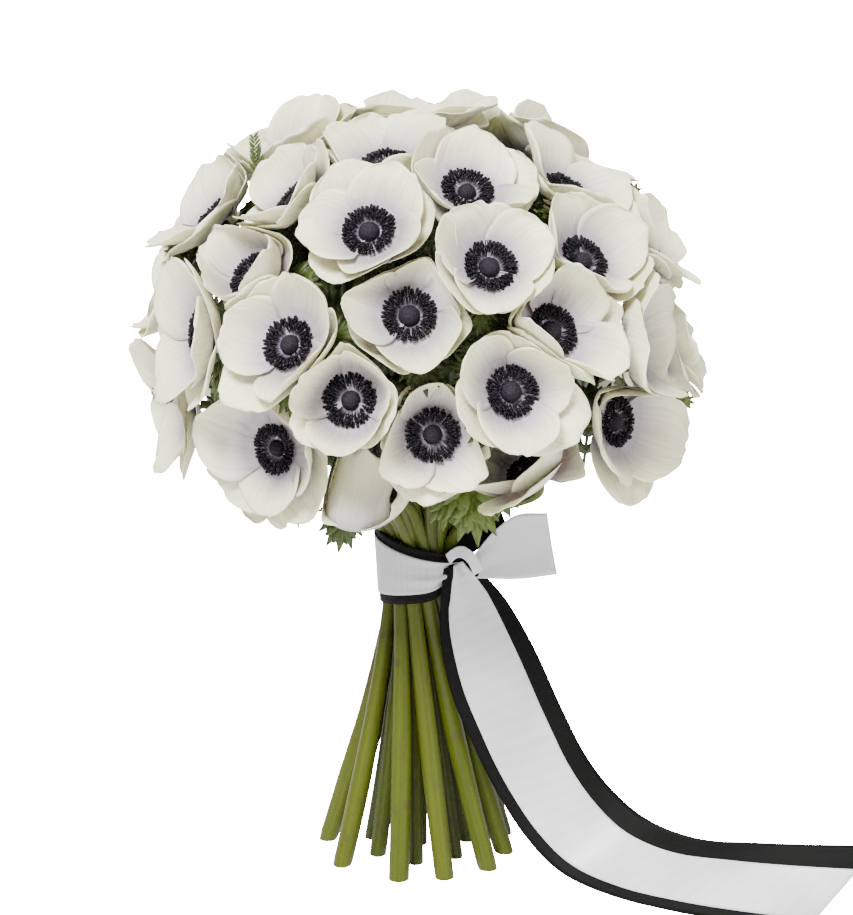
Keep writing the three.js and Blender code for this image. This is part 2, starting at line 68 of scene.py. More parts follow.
def heart_place(number):
    """The seat and the axis of a bloom, from the corners of its packed heart."""
    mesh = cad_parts[f"heart_{number:02d}"].data
    corners = {tuple(round(c / MM, 3) for c in vert.co) for vert in mesh.vertices}
    corners = np.array(sorted(corners))
    middle = corners.mean(axis=0)
    ways = np.linalg.eigh(np.cov((corners - middle).T))[1]
    axis = ways[:, 0]
    heights = (corners - middle) @ axis
    if heights.max() < -heights.min():  # the pistil stands farther out than the foot
        axis, heights = -axis, -heights
    foot = heights.min() - HEART_FOOT
    return middle + axis * foot, axis


class Bloom:
    """Where one bloom sits, how it is turned and how wide and deep it is open."""

    def __init__(self, number):
        self.number = number
        self.width, self.cup, self.lift = BLOOM_FORMS[number - 1]
        self.seat, self.axis = heart_place(number)
        self.side = np.cross([0, 0, 1], self.axis)
        self.side /= np.linalg.norm(self.side)
        self.top = np.cross(self.axis, self.side)
        self.radius = self.width / 2
        self.luck = random.Random(number)

    def place(self, radius, angle, height):
        """Points at a radius, an angle and a height over the seat, as rows of x, y, z."""
        radius, angle, height = np.broadcast_arrays(radius, angle, height)
        return (self.seat
                + np.outer(radius * np.cos(angle), self.side)
                + np.outer(radius * np.sin(angle), self.top)
                + np.outer(height, self.axis))


blooms = [Bloom(number + 1) for number in range(BLOOM_COUNT)]


# ---- The stems ----
# Thick juicy anemone stems, olive green, all laid in one spiral: below the tie they spread to
# a ring of cut ends on the floor, above it they wind on and bend out to their blooms.
TIE_LOW, TIE_HIGH = 156.0, 176.0
SPIRAL = 30.0  # degrees that a stem winds below the tie, and again above it
FOOT_RADIUS = 5.3
# The inner rings' low range paints shade on their stems; the outer ring's range only varies the
# tone at random.
SHADED_INNER, OUTER_TONES = (0.0, 0.25), (0.35, 1.0)  # between which the brightness of a stem lies
FEET = [  # [ring radius, radius at the tie, thickness, brightness, turns]
    [0.0, 0.0, 0.85, SHADED_INNER, [0]],
    [29.0, 8.6, 0.82, SHADED_INNER, [-54, -4, 46, 98, 150, 202, 254]],
    [53.0, 15.0, 1.0, OUTER_TONES, [-97, -54, -12, 16, 47, 74, 106, 138, 170, 202, 234]],
]
LOWER_RADII = [5.7, 5.6, 5.3, 4.8, 4.3]  # of a stem of thickness 1, from its cut end to the tie
STEM_SIDES = 18
BOW_PLACE, BOW_SHARE = 0.55, 0.8  # a stem bows inwards: where, and how far out it stays
CUT_END = [(1.0, 0.0), (0.86, 0.0), (0.6, 0.6), (0.03, 0.6)]  # [share of radius, height]
TIE_SPREAD = 16.3  # how far the outermost stem stands from the tie's middle
NECK = 34.0  # the last stretch of a stem, which points at its bloom
BELOW_SEAT = 3.2
HIDDEN_STEMS = 23  # the stems of so many of the highest blooms are thin
THICK_STEM, THIN_STEM = 4.2, 2.8  # their radii above the tie
STEM_GREEN = (0.050, 0.066, 0.0015)
STEM_PALE = (0.073, 0.087, 0.0025)
STEM_BROWN = (0.055, 0.045, 0.012)
luck = random.Random(5)


def polar(radius, turn, height):
    """A point at a turn in degrees to the right of the front."""
    return Vector((radius * math.sin(math.radians(turn)),
                   -radius * math.cos(math.radians(turn)), height))


@functools.cache
def grid_plan(across, along, closed):
    """A grid to be bent: the shares u and v of its points, its faces and their UV pairs. Where
    it is closed its last points are left out, and its last faces end at its first points."""
    bm = bmesh.new()
    layer = bm.loops.layers.uv.new("UVMap")
    bmesh.ops.create_grid(bm, x_segments=across, y_segments=along, size=1, calc_uvs=True)
    bm.verts.index_update()
    spots = np.array([vert.co for vert in bm.verts])
    faces = np.array([[vert.index for vert in face.verts] for face in bm.faces])
    uvs = np.array([[loop[layer].uv for loop in face.loops] for face in bm.faces])
    bm.free()
    rows, columns = along + (closed != "along"), across + (closed != "across")
    row, column = np.divmod(np.arange(len(spots)), across + 1)
    kept = (row < rows) & (column < columns)
    row, column = np.divmod(faces, across + 1)
    faces = row % rows * columns + column % columns
    return spots[kept, 0], (spots[kept, 1] + 1) / 2, faces, uvs


class Pieces:
    """Points and faces, gathered until they become one object."""

    def __init__(self):
        self.points, self.faces, self.uvs, self.owns, self.kinds = [], [], [], [], []
        self.count = 0

    def add(self, points, faces, uvs, own=0.0, kind=0):
        """Faces as rows of point numbers, a UV pair for each of their corners; own is the
        number that sets this part apart, kind the number of its material."""
        self.points.append(points)
        self.faces.extend([[point + self.count for point in face] for face in faces])
        self.uvs.append(np.ravel(uvs))
        self.owns.append(np.full(len(points), own))
        self.kinds.append(np.full(len(faces), kind))
        self.count += len(points)

    def grid(self, across, along, form, own=0.0, closed=""):
        """A grid whose points lie where form(u, v) says, u from -1 to 1 across, v from 0 to 1
        along; closed names the direction in which it runs back into itself."""
        u, v, faces, uvs = grid_plan(across, along, closed)
        points = form(u, v)
        self.add(points, faces.tolist(), uvs, own)
        return points


def curve_frames(points):
    """Places, two crosswise directions and shares of length along a line of points."""
    points = np.array([tuple(point) for point in points], dtype=float)
    ways = np.gradient(points, axis=0)
    ways /= np.linalg.norm(ways, axis=1)[:, None]
    first = np.cross(ways, [0.0, 1.0, 0.02])
    first /= np.linalg.norm(first, axis=1)[:, None]
    second = np.cross(ways, first)
    steps = np.linalg.norm(np.diff(points, axis=0), axis=1)
    share = np.concatenate([[0], np.cumsum(steps)])
    return points, first, second, share / share[-1]


def tube(pieces, points, radii, sides, along, own, wobble=0.0, floor=None):
    """A round stem along points, its radius going through radii; floor flattens its foot."""
    points, first, second, share = curve_frames(points)
    phase = own * 50

    def form(u, v):
        angle = u * math.pi
        radius = np.interp(v, np.linspace(0, 1, len(radii)), radii)
        radius = radius * (1 + wobble * np.sin(3 * angle + phase)
                           + wobble * np.sin(9 * v + 2 * phase))
        spot, one, two = (np.stack([np.interp(v, share, line[:, i]) for i in range(3)], axis=1)
                          for line in (points, first, second))
        skin = (spot + one * (radius * np.cos(angle))[:, None]
                - two * (radius * np.sin(angle))[:, None])
        if floor is not None:
            skin[:sides, 2] = floor
        return skin

    return pieces.grid(sides, along, form, own, closed="across")


def bezier(controls, count=24):
    """Points along a Bezier curve with any number of controls."""
    result = []
    for step in range(count):
        t = step / (count - 1)
        line = [Vector(control) for control in controls]
        while len(line) > 1:
            line = [a.lerp(b, t) for a, b in zip(line, line[1:])]
        result.append(line[0])
    return result


def add_object(name, data):
    """An object in the scene, made of a mesh, a lamp or a lens."""
    thing = bpy.data.objects.new(name, data)
    bpy.context.scene.collection.objects.link(thing)
    return thing


def finish_piece(pieces, name, finishes, thickness=None, nodes=()):
    """The finished object: in metres, smooth, with its materials, riding on the bouquet."""
    mesh = bpy.data.meshes.new(name)
    mesh.from_pydata((np.concatenate(pieces.points) * MM).tolist(), [], pieces.faces)
    mesh.uv_layers.new(name="UVMap").data.foreach_set("uv", np.concatenate(pieces.uvs))
    own = mesh.attributes.new("own", "FLOAT", "POINT")
    own.data.foreach_set("value", np.concatenate(pieces.owns))
    mesh.polygons.foreach_set("material_index", np.concatenate(pieces.kinds))
    mesh.polygons.foreach_set("use_smooth", [True] * len(mesh.polygons))
    for finish in finishes:
        mesh.materials.append(finish)
    mesh.update()
    piece = add_object(name, mesh)
    if thickness:
        wall = piece.modifiers.new("thickness", "SOLIDIFY")
        wall.thickness = thickness * MM
        wall.offset = 0
    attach(piece, "root")
    if nodes:
        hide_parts(*nodes)
    return piece


def new_finish(name, settings):
    """A material, its node tree and its shader, which is given the settings."""
    finish = bpy.data.materials.new(name)
    finish.use_nodes = True
    shader = finish.node_tree.nodes["Principled BSDF"]
    for title, value in settings.items():
        shader.inputs[title].default_value = value
    return finish, finish.node_tree, shader


def ramp(tree, source, stops):
    """A colour ramp with the given [position, colour] stops, fed from a value."""
    node = tree.nodes.new("ShaderNodeValToRGB")
    elements = node.color_ramp.elements
    while len(elements) < len(stops):
        elements.new(0.5)
    for element, (position, colour) in zip(elements, stops):
        element.position = position
        element.color = (*colour, 1)
    tree.links.new(source, node.inputs["Fac"])
    return node.outputs["Color"]


def feed(tree, sockets, values):
    """Feed each socket from another node's socket or with a plain value."""
    for socket, value in zip(sockets, values):
        if isinstance(value, bpy.types.NodeSocket):
            tree.links.new(value, socket)
        else:
            socket.default_value = value


def mixed(tree, factor, first, second, blend="MIX"):
    """Two colours mixed by a value; each is a socket or plain."""
    node = tree.nodes.new("ShaderNodeMix")
    node.data_type = "RGBA"
    node.blend_type = blend
    feed(tree, [node.inputs[place] for place in (0, 6, 7)], (factor, first, second))
    return node.outputs[2]


def tinted(tree, amount, tone, source, stops):
    """A colour multiplied by a ramp's colours."""
    return mixed(tree, amount, tone, ramp(tree, source, stops), "MULTIPLY")


def math_node(tree, operation, *values):
    """A math node fed from sockets or with plain numbers."""
    node = tree.nodes.new("ShaderNodeMath")
    node.operation = operation
    feed(tree, node.inputs, values)
    return node.outputs[0]


def cloud(tree, scale, detail=2.0, place=None):
    """A soft, cloudy value at a place, or else all through the object."""
    if place is None:
        place = tree.nodes.new("ShaderNodeTexCoord").outputs["Object"]
    node = tree.nodes.new("ShaderNodeTexNoise")
    node.inputs["Scale"].default_value = scale
    node.inputs["Detail"].default_value = detail
    tree.links.new(place, node.inputs["Vector"])
    return node.outputs["Fac"]


def new_group(name, inputs, outputs):
    """The node tree of a group, the values that go into it, and those that come out."""
    tree = bpy.data.node_groups.new(name, "ShaderNodeTree")
    for titles, way in ((inputs, "INPUT"), (outputs, "OUTPUT")):
        for title in titles:
            tree.interface.new_socket(title, in_out=way, socket_type="NodeSocketFloat")
    given = tree.nodes.new("NodeGroupInput")
    result = tree.nodes.new("NodeGroupOutput")
    return tree, given.outputs, result.inputs


def uv_shares(tree):
    """The shares across and along a piece, from its UV map."""
    uv = tree.nodes.new("ShaderNodeUVMap")
    uv.uv_map = "UVMap"
    parts = tree.nodes.new("ShaderNodeSeparateXYZ")
    tree.links.new(uv.outputs["UV"], parts.inputs[0])
    return parts.outputs["X"], parts.outputs["Y"]


def fibres_group():
    """Fine lines that run along a petal, leaf or stem, from its UV map and its own number."""
    tree, given, result = new_group("fibres", ["Lines", "Stretch"], ["Fibres", "Along", "Own"])
    across, along = uv_shares(tree)
    own = tree.nodes.new("ShaderNodeAttribute")
    own.attribute_name = "own"
    place = tree.nodes.new("ShaderNodeCombineXYZ")
    feed(tree, place.inputs, [
        math_node(tree, "MULTIPLY", across, given["Lines"]),
        math_node(tree, "MULTIPLY", along, given["Stretch"]),
        math_node(tree, "MULTIPLY", own.outputs["Fac"], FIBRES_APART)])
    fibres = cloud(tree, 1.0, 3.0, place.outputs[0])
    for name, value in (("Fibres", fibres), ("Along", along), ("Own", own.outputs["Fac"])):
        tree.links.new(value, result[name])
    return tree


FIBRES_APART = 37.0  # how far apart the own numbers set the lines of two pieces
FIBRES = fibres_group()


def add_group(tree, group, **values):
    """A node group placed in a material, with its values."""
    node = tree.nodes.new("ShaderNodeGroup")
    node.node_tree = group
    for title, value in values.items():
        node.inputs[title].default_value = value
    return node.outputs


def dress(tree, shader, tone, height, strength, distance):
    """Give a shader its colour, and a bump from a height value."""
    bump = tree.nodes.new("ShaderNodeBump")
    feed(tree, [bump.inputs[name] for name in ("Height", "Strength", "Distance")],
         (height, strength, distance))
    feed(tree, [shader.inputs["Base Color"], shader.inputs["Normal"]],
         (tone, bump.outputs["Normal"]))


def stem_finish():
    """Olive green with fine lines and brown marks; the inner stems are painted darker, as painted
    shade.
    """
    finish, tree, shader = new_finish(
        "stem green", {"Roughness": 0.42, "Specular IOR Level": 0.25})
    fibres = add_group(tree, FIBRES, Lines=16.0, Stretch=1.5)
    tone = ramp(tree, fibres["Fibres"], [[0.32, STEM_GREEN], [0.68, STEM_PALE]])
    marks = ramp(tree, cloud(tree, 90.0, 4.0),
                 [[0.56, (0, 0, 0)], [0.72, (0.65, 0.65, 0.65)]])
    tone = mixed(tree, marks, tone, (*STEM_BROWN, 1))
    # Painted shade: low own numbers darken a stem to about 0.4. The inner stems below the tie get
    # them, and the stems above it take random places on this ramp.
    tone = tinted(tree, 1.0, tone, fibres["Own"],
                  [[0.0, (0.40, 0.43, 0.36)], [0.35, (0.80, 0.84, 0.75)],
                   [1.0, (0.96, 0.93, 0.9)]])
    dress(tree, shader, tone, fibres["Fibres"], 0.4, 0.0006)
    return finish


STEM = stem_finish()


def stem_feet():
    """The middles of the cut ends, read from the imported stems, in the order of FEET."""
    low = [Vector(vert.co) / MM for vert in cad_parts["stems_and_leaves"].data.vertices
           if abs(vert.co.z) < 0.3 * MM]
    feet = []
    for ring, tie, thick, tone_and_shade, turns in FEET:
        for turn in turns:
            expected = polar(ring, turn, 0)
            near = {tuple(round(c, 2) for c in spot) for spot in low
                    if (spot - expected).length < 1.6 * FOOT_RADIUS}
            middle = sum((Vector(spot) for spot in sorted(near)), Vector()) / len(near)
            feet.append((middle, tie, thick, tone_and_shade, turn))
    return feet


def cut_end(pieces, ring, own):
    """The cut end of a stem: its rind, and a core that stands a little higher."""
    middle = ring.mean(axis=0)
    points = np.concatenate([middle + (ring - middle) * share + [0, 0, rise]
                             for share, rise in CUT_END])
    plan = grid_plan(len(ring), len(CUT_END) - 1, "across")
    pieces.add(points, plan[2][:, ::-1].tolist(), plan[3][:, ::-1], own)


def lower_stems():
    """The stems from the floor to the tie; one in three stands right on the floor."""
    pieces = Pieces()
    for index, (foot, tie, thick, tone_and_shade, turn) in enumerate(stem_feet()):
        foot.z = 0
        bound = polar(tie, turn - SPIRAL, TIE_LOW + 2)
        bow = foot.lerp(bound, BOW_PLACE)
        bow = Vector((BOW_SHARE * bow.x, BOW_SHARE * bow.y, bow.z))
        # Low for the inner rings, as painted shade; a random tone for the outer ring.
        own = luck.uniform(*tone_and_shade)
        radii = [thick * radius * (1 + luck.uniform(-0.05, 0.05)) for radius in LOWER_RADII]
        floor = 0.5 * luck.random() * (index % 3 > 0)
        skin = tube(pieces, bezier([foot, bow, bound]), radii, STEM_SIDES, 40, own, 0.025, floor)
        cut_end(pieces, skin[:STEM_SIDES], own)
    finish_piece(pieces, "stems_below_tie", [STEM], nodes=["stems_and_leaves"])


lower_stems()


def upper_curve(bloom, rank):
    """From the tie up to the back of a bloom, swinging out and winding on as it goes."""
    spread = TIE_SPREAD * math.sqrt((rank + 0.5) / BLOOM_COUNT)
    turn = math.degrees(math.atan2(bloom.seat[0], -bloom.seat[1]))
    end = Vector(bloom.seat - BELOW_SEAT * bloom.axis)
    return bezier([polar(spread, turn + SPIRAL, TIE_HIGH - 16),
                   polar(spread, turn + SPIRAL, TIE_HIGH - 3),
                   polar(0.7 * spread, turn + 0.8 * SPIRAL, TIE_HIGH + 42),
                   end - NECK * Vector(bloom.axis), end])


def upper_stems():
    """The stems above the tie; the lowest blooms' stems stand outermost and show."""
    pieces = Pieces()
    for bloom in blooms:
        rank = sum(other.seat[2] > bloom.seat[2] for other in blooms)
        thick = THIN_STEM if rank < HIDDEN_STEMS else THICK_STEM
        radii = [thick, 0.95 * thick, 0.5 * (thick + 2.1), 2.2, 2.0, 2.6]
        tube(pieces, upper_curve(bloom, rank), radii, 10, 22, luck.random(), 0.02)
    finish_piece(pieces, "stems_above_tie", [STEM])


upper_stems()


# ---- The leaves ----
# Soft green leaves, cut deep into narrow fingers: a ruff of three stands under most blooms,
# larger ones fill the head between the stems, and a few hang free.
LEAF_THICKNESS = 0.4
LEAF_GREEN = (0.038, 0.066, 0.004)
LEAF_PALE = (0.112, 0.160, 0.010)
# The colour of the painted shade on the leaves deep in the head.
LEAF_PAINTED_SHADE = (0.018, 0.03, 0.008)
RUFF_LEAVES = 3
RUFF_LENGTH = (0.88, 1.06)  # as shares of the bloom's radius
RUFF_BELOW = (9, 12)  # how far under the seat they grow from the stem
BARE = (8, 9, 14, 15, 19, 20, 21)  # blooms whose ruff of leaves doesn't show
LOBES = [  # [place along the leaf, angle off it, length] of its lobes
    [0.22, 58, 0.42], [0.22, -58, 0.42], [0.42, 42, 0.46], [0.42, -42, 0.46],
    [0.58, 24, 0.44], [0.58, -24, 0.44], [0.60, 0, 0.46],
]
FINGERS = [  # [angle, start, length] of the fingers of a lobe
    [-40, 0.5, 0.42], [-20, 0.72, 0.62], [0, 1.0, 1.0], [20, 0.72, 0.62], [40, 0.5, 0.42],
]
FINGER_WIDTH = 0.062  # half of it, as a share of the leaf's length


def leaf_finish():
    """Fresh green that lets a little light through; leaves inside the head are painted darker, as
    painted shade.
    """
    finish, tree, shader = new_finish("leaf green", {
        "Roughness": 0.5, "Subsurface Weight": 0.1,
        "Subsurface Radius": (0.001, 0.002, 0.0005)})
    fibres = add_group(tree, FIBRES, Lines=14.0, Stretch=2.0)
    tone = ramp(tree, fibres["Fibres"], [[0.3, LEAF_GREEN], [0.7, LEAF_PALE]])
    # Painted shade: low own numbers darken a leaf towards the shade colour.
    tone = tinted(tree, 0.9, tone, fibres["Own"],
                  [[0.0, LEAF_PAINTED_SHADE], [0.35, (0.35, 0.4, 0.3)], [1.0, (1, 1, 1)]])
    dress(tree, shader, tone, fibres["Fibres"], 0.5, 0.0005)
    return finish


LEAF = leaf_finish()


def turned(way, side, angle):
    """A direction turned from way towards side."""
    return way * math.cos(angle) + side * math.sin(angle)


def finger(pieces, root, way, side, face, length, half, own):
    """One narrow finger of a leaf, folded along its rib and bent a little down."""
    def form(u, v):
        width = half * np.sin(math.pi * np.clip(0.12 + 0.88 * v, 0, 1)) ** 0.7 + 0.15
        fold = 0.35 * half * (1 - np.abs(u))
        bend = -0.16 * length * v * v
        return (root + np.outer(v * length, way) + np.outer(u * width, side)
                + np.outer(bend + fold, face))

    pieces.grid(2, 3, form, own)


def cut_leaf(pieces, root, way, face, length, own):
    """A whole leaf: lobes on both sides of its rib, each split into five fingers."""
    way = way / np.linalg.norm(way)
    side = np.cross(way, face)
    side /= np.linalg.norm(side)
    face = np.cross(side, way)
    for place, angle, size in LOBES:
        bend = -0.10 * length * place * place
        start = root + way * place * length * 0.8 + face * bend
        spine = turned(way, side, math.radians(angle))
        for turn, begin, part in FINGERS:
            total = math.radians(angle + turn)
            out = turned(way, side, total)
            across = turned(side, -way, total)
            base = start + spine * (0.45 * size * length * (1 - begin) * 1.2)
            lift = face * (0.1 * math.sin(own * 90 + turn + angle))
            finger(pieces, base, out + lift, across, face, size * length * part,
                   FINGER_WIDTH * length, own)

    def rib(u, v):
        return (root + np.outer(v * length * 0.85, way) + np.outer(u * 0.9, side)
                + np.outer(-0.1 * length * (v * 0.8) ** 2 + 0.2, face))

    pieces.grid(2, 5, rib, own)


def ruffs():
    """The three leaves that stand out under a bloom."""
    pieces = Pieces()
    for bloom in blooms:
        if bloom.number in BARE:
            continue
        for index in range(RUFF_LEAVES):
            angle = bloom.luck.uniform(0, 0.8) + index * 2 * math.pi / RUFF_LEAVES
            out = turned(bloom.side, bloom.top, angle)
            root = bloom.seat - bloom.axis * bloom.luck.uniform(*RUFF_BELOW) + out * 1.5
            way = out + 0.12 * bloom.axis
            length = bloom.radius * bloom.luck.uniform(*RUFF_LENGTH)
            cut_leaf(pieces, root, way, bloom.axis, length, bloom.luck.uniform(0.2, 0.8))
    finish_piece(pieces, "leaf_ruffs", [LEAF], LEAF_THICKNESS)


ruffs()

INNER_LEAVES = 120
INNER_LENGTH = (52, 66)
INNER_SHELL = 0.76  # they lie on a smaller dome inside the blooms'
GOLDEN_ANGLE = math.pi * (3 - math.sqrt(5))
LOWEST = -0.72  # as a share of the dome's half height


def inner_leaves():
    """Leaves deep in the head, which lie along the dome and close the view through it."""
    pieces = Pieces()
    for index in range(INNER_LEAVES):
        high = LOWEST + (1 - LOWEST) * (index + 0.5) / INNER_LEAVES
        turn = index * GOLDEN_ANGLE
        wide = math.sqrt(1 - high * high)
        out = np.array([wide * math.cos(turn), wide * math.sin(turn), high])
        spin = luck.uniform(0, 2 * math.pi)
        level = np.array([-math.sin(turn), math.cos(turn), 0.0])
        way = turned(level, np.cross(out, level), spin)
        length = luck.uniform(*INNER_LENGTH)
        shell = INNER_SHELL * luck.uniform(0.92, 1.06)
        root = DOME_CENTRE + out * DOME_HALF * shell - way * length / 2
        # Low own numbers, so that these leaves take the painted shade.
        cut_leaf(pieces, root, way, out, length, luck.uniform(0.02, 0.45))
    finish_piece(pieces, "leaves_inside", [LEAF], LEAF_THICKNESS)


inner_leaves()

SPRIGS = [  # [root, tip, own brightness] of the leaves that show outside
    [(26, -64, 250), (33, -88, 199), 0.9], [(20, -66, 242), (13, -82, 206), 0.85],
    [(36, -66, 242), (50, -80, 214), 0.75], [(-37, -72, 230), (-42, -80, 193), 0.5],
    [(-130, -30, 272), (-146, -34, 273), 0.5], [(132, -36, 271), (150, -42, 269), 0.8],
    [(-116, -34, 345), (-134, -44, 356), 0.6], [(112, 10, 368), (122, 12, 384), 0.5],
    [(74, -84, 250), (78, -92, 282), 0.3], [(88, -56, 236), (94, -60, 290), 0.25],
    [(-98, -64, 262), (-104, -74, 288), 0.3], [(-88, -76, 288), (-108, -80, 284), 0.25],
]
NEEDLES = [(-82, -60, 386), (-84, -62, 411)]  # a sprig of thin needles at the upper left
NEEDLE_COUNT = 26
NEEDLE_LENGTH, NEEDLE_WIDTH = 7, 0.45
NEEDLE_LEAN = 38
FORWARD = np.array([0.0, -1.0, 0.0])


def sprigs():
    """The few leaves that stand out from the blooms."""
    pieces = Pieces()
    for root, tip, own in SPRIGS:
        way = np.subtract(tip, root).astype(float)
        face = np.array([0.15, -1.0, 0.35])
        cut_leaf(pieces, np.array(root, dtype=float), way, face, np.linalg.norm(way), own)
    foot, end = (np.array(place, dtype=float) for place in NEEDLES)
    stalk = end - foot
    rise = stalk / np.linalg.norm(stalk)
    across = np.cross(rise, FORWARD)
    for index in range(NEEDLE_COUNT):
        share = index / (NEEDLE_COUNT - 1)
        lean = math.radians(NEEDLE_LEAN + luck.uniform(-8, 8)) * (1 if index % 2 else -1)
        finger(pieces, foot + stalk * share, turned(rise, across, lean),
               turned(across, -rise, lean), FORWARD,
               NEEDLE_LENGTH * (1.1 - 0.6 * share), NEEDLE_WIDTH, 0.35)
    finish_piece(pieces, "leaf_sprigs", [LEAF], LEAF_THICKNESS)


sprigs()


# ---- The petals ----
# Each bloom has two whorls of broad, waved, paper-thin petals, creamy white with a cool tint at
# the heart, deepened there by painted shade. They grow from one seat and are crowded by the
# neighbouring blooms' petals.
PETALS = 3  # in each whorl
# Of each whorl: petal length as a share of the bloom's radius, height over the seat, and gap
# to the neighbouring bloom.
OUTER_WHORL = [1.18, -1.6, 0.3]
INNER_WHORL = [1.06, 0.4, 1.5]
OUTER_SLOPE, INNER_SLOPE = [1, 36], [7, 46]  # degrees that petals rise, and more in a full cup
ROLLED_BACK = [34, 22]  # degrees that their tips turn down, and less in a full cup
CUP_SHORTER = 0.16  # how much shorter the petals of a fully cupped bloom are
PETAL_WIDTH = (0.66, 0.78)  # half of it lies between these shares of the bloom's radius
PETAL_START = 3.0  # petals leave the seat this far from the bloom's axis
RIM_HEIGHT = 6.0  # height over its seat at which a bloom meets its neighbours
NEIGHBOUR_REACH = 95.0
OVERHANG = 2.2  # how strongly a bloom that stands out reaches over its neighbour
CROWD = 7.0  # a petal starts to bend this far before it meets another bloom
SLIDE, SLIDE_LIMIT = 0.42, 16  # what is pressed back slides up by this share, up to a limit
PETAL_THICKNESS = 0.35
PETAL_WHITE = (0.88, 0.86, 0.57)
# The petal's cool tint near the heart, darkened further as painted shade in the cup.
PETAL_HEART_TINT_AND_SHADE = (0.33, 0.29, 0.33)
PETAL_EDGE = (0.82, 0.83, 0.56)
FOLDED = {  # [turn, the way it is folded, outer fold, inner fold, length]
    9: [-90, -90, 60, 100, 1.6], 11: [0, 0, 14, 14, 1.0], 13: [-90, -90, 0, 0, 0.78],
    14: [-90, -90, 20, 20, 0.55], 15: [0, 0, -34, -20, 0.9], 21: [10, 60, -60, 0, 1.05],
}
UNFOLDED = [0, 0, 0, 0, 1.0]
IN_FRONT = (14, 15, 19)  # blooms at the head's edges, which lie over the ones behind
FIRST_BEHIND = 28
WIDTHS = [[0, 0.16], [0.12, 0.44], [0.3, 0.76], [0.5, 0.96], [0.65, 1.0], [0.8, 0.96],
          [0.9, 0.86], [0.96, 0.72], [1.0, 0.50]]  # half width along a petal


def cell_planes(bloom):
    """The slanted planes between a bloom and each of its neighbours."""
    rim = bloom.seat + bloom.axis * RIM_HEIGHT
    planes = []
    for other in blooms:
        gap = np.linalg.norm(other.seat - bloom.seat)
        if other is bloom or gap > NEIGHBOUR_REACH:
            continue
        if bloom.number in IN_FRONT and other.number >= FIRST_BEHIND:
            continue
        other_rim = other.seat + other.axis * RIM_HEIGHT
        between = other_rim - rim
        distance = np.linalg.norm(between)
        share = 0.5 + (bloom.radius - other.radius) / (2 * distance)
        meeting = rim + between * share
        normal = between + OVERHANG * (other.lift - bloom.lift) * (bloom.axis + other.axis) / 2
        normal /= np.linalg.norm(normal)
        planes.append((normal, meeting @ normal))
    return planes


def keep_in_cell(points, bloom, planes, inset):
    """Points that come near a plane are pressed flat against it and slide up along it."""
    for step in range(4):
        for normal, limit in planes:
            past = points @ normal - limit + inset
            close = past > -CROWD
            pressed = np.where(close, -CROWD * np.exp(-(past + CROWD) / CROWD), past)
            if step:
                pressed = np.minimum(past, -0.05)
            shift = past - pressed
            points = points - np.outer(shift, normal)
            if step == 0:
                along = bloom.axis - normal * (bloom.axis @ normal)
                points = points + np.outer(SLIDE * np.minimum(shift, SLIDE_LIMIT), along)
    return points


def smooth_step(low, high, value):
    """A soft step from 0 at low to 1 at high."""
    share = np.clip((value - low) / (high - low), 0, 1)
    return share * share * (3 - 2 * share)


def petal_profile(bloom, outer, reach, lean, fold):
    """Radius and height along the middle of a petal, from the seat to its tip."""
    share = np.linspace(0, 1, 40)
    flat, cupped = OUTER_SLOPE if outer else INNER_SLOPE
    mean = (flat + cupped * bloom.cup) + lean
    rising = smooth_step(0.22, 0.62, share)
    back = ROLLED_BACK[0] - ROLLED_BACK[1] * bloom.cup
    slope = mean * (0.3 + 1.35 * rising) - back * smooth_step(0.62, 1.0, share)
    scale = (reach - PETAL_START) / np.cos(np.radians(slope[1:])).sum()
    slope = np.radians(slope + fold * rising)
    radius = np.concatenate([[0], np.cumsum(np.cos(slope[1:]))])
    height = np.concatenate([[0], np.cumsum(np.sin(slope[1:]))])
    return share, PETAL_START + radius * scale, height * scale


